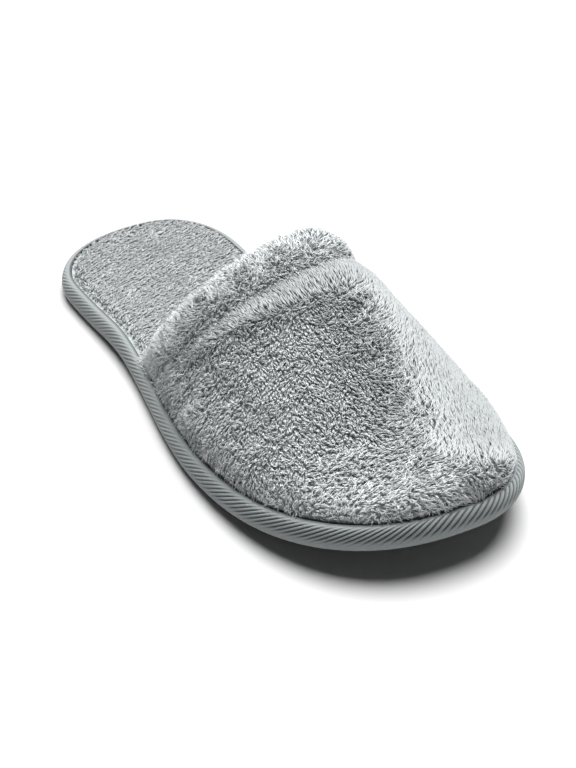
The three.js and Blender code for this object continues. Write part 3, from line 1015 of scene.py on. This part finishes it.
seam_reach = (foot_grid - vamp_back) / (10 * mm)
seam_roll = 0.9 * mm * np.exp(-((seam_reach * 1.6) ** 2)) * away_from_feet(side_grid)
seam_puff = 0.7 * mm * np.exp(-((seam_reach - 1.1) ** 2) * 1.4) * away_from_feet(side_grid)
vamp_plain = upper_point(foot_grid, side_grid, 0.0)
vamp_normal = cloth_normals(vamp_plain)
vamp_rise = vamp_plain[..., 2] - sole_lift(SOLE_LENGTH / 2 - vamp_plain[..., 1]) - UPPER_FOOT
vamp_shift = form_height(foot_grid, side_grid) + roll_out(vamp_rise)
vamp_shift = vamp_shift + seam_puff - seam_roll - PILE_SINK
vamp_shift *= ease(0, 1, (vamp_rise + 0.6 * mm) / (3 * mm))
vamp_outer = vamp_plain + vamp_normal * vamp_shift[..., None]
share_in = (foot_grid - vamp_back) / (vamp_end - vamp_back)
vamp_inner = upper_point(foot_grid - VAMP_WALL * share_in, side_grid, VAMP_WALL)
vamp_loop = np.concatenate([vamp_outer, vamp_inner[:, ::-1]], 1)
loop_size = 2 * VAMP_COLUMNS
vamp_faces = [sheet_faces(VAMP_ROWS, loop_size, wrap=True)]
for row, turned_round in ((0, True), (VAMP_ROWS - 1, False)):
    first = row * loop_size + np.arange(VAMP_COLUMNS - 1)
    facing = row * loop_size + loop_size - 1 - np.arange(VAMP_COLUMNS - 1)
    cap = np.stack([first, first + 1, facing - 1, facing], -1)
    vamp_faces.append(cap[:, ::-1] if turned_round else cap)


def loop_layer(outer_values, inner_value=0.0):
    """One value for each point of the loops, from values on the outer face."""
    inner = np.full_like(outer_values, inner_value)
    return np.concatenate([outer_values, inner], 1).reshape(-1, *outer_values.shape[2:])


# Combing: forwards and down on the outer flank, sideways over the toe, and back where the pile
# lies smooth, on the crown, on the inner flank and behind the seam
toward_toe = np.gradient(vamp_outer, axis=0)
toward_toe /= np.maximum(np.linalg.norm(toward_toe, axis=-1, keepdims=True), 1e-12)


def along_cloth(*heading):
    """A direction in space, laid flat on the vamp's cloth."""
    laid = np.zeros_like(vamp_normal) + heading
    return laid - vamp_normal * (laid * vamp_normal).sum(-1, keepdims=True)


at_foot = ease(1, 0, vamp_rise / (4.5 * mm))
forward_comb = 0.8 * toward_toe + (0.35 - 0.8 * at_foot)[..., None] * along_cloth(0, 0, -1)
across_toe = ease(0, 0.4, (foot_grid / SOLE_LENGTH - 0.78) / 0.12)[..., None]
across_toe = across_toe * ease(1, 0.3, (side_grid + 0.3) / 0.6)[..., None]
forward_comb += (0.9 * along_cloth(1, 0.1, 0) - forward_comb) * across_toe
backward = along_cloth(0.1, 1, 0)
toe_end_share = ease(1, 0.6, (foot_grid - 0.9 * SOLE_LENGTH) / (20 * mm))
smooth_inner = ease(0, 1, (side_grid + 0.55) / 1.0) * toe_end_share
crown_band = ease(0, 1, (side_grid + 0.5) / 0.9) * toe_end_share
seam_band = seam_reach / (0.9 + 1.3 * ease(0, 1, (side_grid + 0.9) / 0.9))
near_seam = ease(1, 0, (seam_band - 0.6) / 0.9) * ease(0.4, 1, (side_grid + 0.85) / 0.6)
outer_low = ease(0, 1, (-side_grid - 0.5) / 0.3) * (1 - near_seam)
vamp_coarse = 1 - 0.75 * np.maximum(smooth_inner, near_seam) + 0.15 * outer_low
back_share = np.maximum(0.85 * crown_band, 0.9 * near_seam)[..., None]
back_pull = 0.75 * ease(0.4, 1, seam_reach / 0.9)
vamp_comb = forward_comb * (1 - back_share) + back_pull[..., None] * backward * back_share
vamp_cover = ease(0, 1, (vamp_rise - 0.7 * mm) / (1.3 * mm))
zone_edges = (0.65 * SOLE_LENGTH, 0.8 * SOLE_LENGTH)
vamp_zone = 1.0 + (foot_grid > zone_edges[0]) + (foot_grid > zone_edges[1])
vamp_mesh = make_mesh(
    "vamp_cloth",
    vamp_loop.reshape(-1, 3),
    np.concatenate(vamp_faces),
    flip=True,
    cover=loop_layer(vamp_cover),
    comb=loop_layer(vamp_comb),
    coarse=loop_layer(vamp_coarse),
    zone=loop_layer(vamp_zone),
)
vamp_cloth = new_object("vamp_cloth", vamp_mesh)
# The first colour darkens the threads at their roots and the last is the grey of smooth pile, both
# painted shade
vamp_pile = terry_material("terry_pile_soft", "#b8bcbd", "#c4c8c9", "#d0d3d4", "#808485")
vamp_mesh.materials.append(bed_backing)

# Plain-woven cotton lining: threads 0.6 mm apart, drawn as coarse as they need to be seen
lining, lining_tree = new_material("cotton_lining")
lining_place = add_node(lining_tree, "ShaderNodeTexCoord").outputs["Object"]
lining_warp, lining_weft = (
    add_node(
        lining_tree,
        "ShaderNodeTexWave",
        {"Vector": lining_place, "Scale": 1 / (0.6 * mm) / TURN, "Distortion": 0.3},
        bands_direction=direction,
    )
    for direction in "XY"
)
lining_weave = add_node(
    lining_tree,
    "ShaderNodeMath",
    {0: lining_warp.outputs["Fac"], 1: lining_weft.outputs["Fac"]},
    operation="MULTIPLY",
)
lining_tone = add_node(
    lining_tree,
    "ShaderNodeMix",
    {0: lining_weave, 6: linear("#8d9292"), 7: linear("#b4b8b7")},
    data_type="RGBA",
)
finish_material(lining_tree, (lining_weave, 0.6, 0.15 * mm), Base_Color=lining_tone, Roughness=0.9)
vamp_mesh.materials.append(lining)


def line_bare_faces(mesh):
    """Give the lining to the faces that carry no pile."""
    zone_here = mesh.attributes["zone"].data
    for face in mesh.polygons:
        if all(zone_here[v].value < 0.5 for v in face.vertices):
            face.material_index = 1


line_bare_faces(vamp_mesh)

vamp_tufts = {
    "back": (1.25 * mm, 1.7 * mm, 1.3 * mm),
    "middle": (1.4 * mm, 1.4 * mm, 1.3 * mm),
    "toe": (2.6 * mm, 1.3 * mm, 1.4 * mm),
}
for number, (part, tuft_size) in enumerate(vamp_tufts.items(), 1):
    grow_pile(
        "vamp_pile_" + part, vamp_cloth, vamp_pile, "terry_vamp",
        Zone=number, Threads_per_square_metre=2.6e6,
        Thread_length=3.0 * mm, Thread_radius=0.225 * mm, Bend=0.5,
        Tuft_size=tuft_size, Tuft_pull=0.95, Lean=0.6,
        Swirl_size=8 * mm, Swirl=0.36, Stray=0.17, Seed=20 + number,
    )
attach(vamp_cloth, "root")
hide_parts("vamp")


# Cuff
# A band of the same terry folded double over a strip of padding and sewn to the vamp's back
# edge. Its free edge is a soft roll, and its pile goes over the fold to the inside.
CUFF_WALL = 5 * mm
CUFF_STAND = 1.1 * mm
cuff_section = np.array(
    [
        # across from the free edge, depth through the wall, thinning to the seam, pile
        (0.0, 0.5, 0, 1),
        (0.02, 0.24, 0, 1),
        (0.08, 0.06, 0, 1),
        (0.18, -0.04, 0, 1),
        (0.3, -0.12, 0, 1),
        (0.45, -0.14, 0, 1),
        (0.6, -0.1, 0, 1),
        (0.75, 0.0, 0.1, 1),
        (0.87, 0.08, 0.45, 1),
        (0.95, 0.05, 0.8, 1),
        (1.0, 0.0, 1, 1),
        (1.0, 1.0, 1, 0),
        (0.8, 1.0, 0.3, 0),
        (0.6, 1.0, 0.05, 0),
        (0.4, 1.0, 0, 0.6),
        (0.25, 1.0, 0, 1),
        (0.12, 0.96, 0, 1),
        (0.03, 0.78, 0, 1),
    ]
)
CUFF_STEPS = 120
sections = len(cuff_section)
fine_section = np.linspace(0, sections, 3 * sections, endpoint=False)
looped_section = np.concatenate([cuff_section, cuff_section[:1]])
cuff_fine = np.stack(
    [np.interp(fine_section, np.arange(sections + 1), looped_section[:, k]) for k in range(4)], -1
)
smoothing = np.array([0.25, 0.5, 0.25])
for _ in range(2):
    cuff_fine = sum(w * np.roll(cuff_fine, k, 0) for w, k in zip(smoothing, (-1, 0, 1)))
cuff_side = 0.35 * np.sin(np.linspace(-np.pi / 2, np.pi / 2, CUFF_STEPS))
cuff_side = cuff_side + 0.65 * np.linspace(-1, 1, CUFF_STEPS)
side_c, across_c = np.meshgrid(cuff_side, cuff_fine[:, 0], indexing="ij")
through_c = np.broadcast_to(cuff_fine[:, 1], side_c.shape)
seam_c = np.broadcast_to(cuff_fine[:, 2], side_c.shape)
away_c = away_from_feet(side_c)
fold_depth = VAMP_WALL * through_c * (1 - away_c) + (CUFF_WALL * through_c - CUFF_STAND) * away_c
seam_depth = 1.6 * mm * away_c * (1 - through_c) + VAMP_WALL * through_c
cuff_depth = fold_depth + (seam_depth - fold_depth) * seam_c
sink = PILE_SINK * np.where(through_c < 0.5, 1, -0.35) * ease(0, 1, (1 - np.abs(side_c)) / 0.05)
sway = 0.6 * mm * np.sin(side_c * 9 + 1.3) * np.sin(side_c * 4) * (1 - np.abs(side_c))
cuff_front = SEAM_AT - 0.3 * mm
rim_tuck = 1.2 * mm * np.exp(-((across_c / 0.1) ** 2))
cuff_foot = CUFF_BACK + (cuff_front - CUFF_BACK) * across_c + rim_tuck + sway
cuff_points = upper_point(cuff_foot, side_c, cuff_depth + sink - sway * 0.8)
cuff_comb = np.zeros_like(cuff_points)
inner_end = ease(0, 1, (side_c - 0.05) / 0.3)
cuff_comb[..., 0] = 0.3 * inner_end
cuff_comb[..., 1] = 0.6 - 1.2 * across_c * (1 - inner_end)
cuff_comb[..., 2] = -0.28 * (through_c < 0.5)
cuff_loops = len(cuff_fine)
cuff_faces = [sheet_faces(CUFF_STEPS, cuff_loops, wrap=True)]
for row, turned_round in ((0, True), (CUFF_STEPS - 1, False)):
    half = np.arange(cuff_loops // 2)
    first = row * cuff_loops + half
    facing = row * cuff_loops + (cuff_loops - half) % cuff_loops
    facing_next = row * cuff_loops + cuff_loops - half - 1
    cap = np.stack([first, first + 1, facing_next, facing], -1)
    cuff_faces.append(cap[:, ::-1] if turned_round else cap)
pile_share = np.broadcast_to(cuff_fine[:, 3], side_c.shape)
cuff_mesh = make_mesh(
    "cuff_cloth",
    cuff_points.reshape(-1, 3),
    np.concatenate(cuff_faces),
    cover=(pile_share * (1 - 0.6 * seam_c)).ravel(),
    comb=cuff_comb.reshape(-1, 3),
    coarse=(1.15 - 0.8 * np.maximum(inner_end, ease(0.7, 0, across_c / 0.3))).ravel(),
    zone=(pile_share > 0.3).astype(float).ravel(),
)
cuff_mesh.materials.append(bed_backing)
cuff_mesh.materials.append(lining)
line_bare_faces(cuff_mesh)
cuff_cloth = new_object("cuff_cloth", cuff_mesh)
grow_pile(
    "cuff_pile", cuff_cloth, vamp_pile, "terry_cuff",
    Zone=1, Threads_per_square_metre=2.6e6,
    Thread_length=3.5 * mm, Thread_radius=0.23 * mm, Bend=0.4,
    Tuft_size=(1.5 * mm, 1.5 * mm, 1.5 * mm), Tuft_pull=0.95, Lean=0.5,
    Swirl_size=8 * mm, Swirl=0.35, Stray=0.24, Seed=41,
)
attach(cuff_cloth, "root")
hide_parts("cuff")
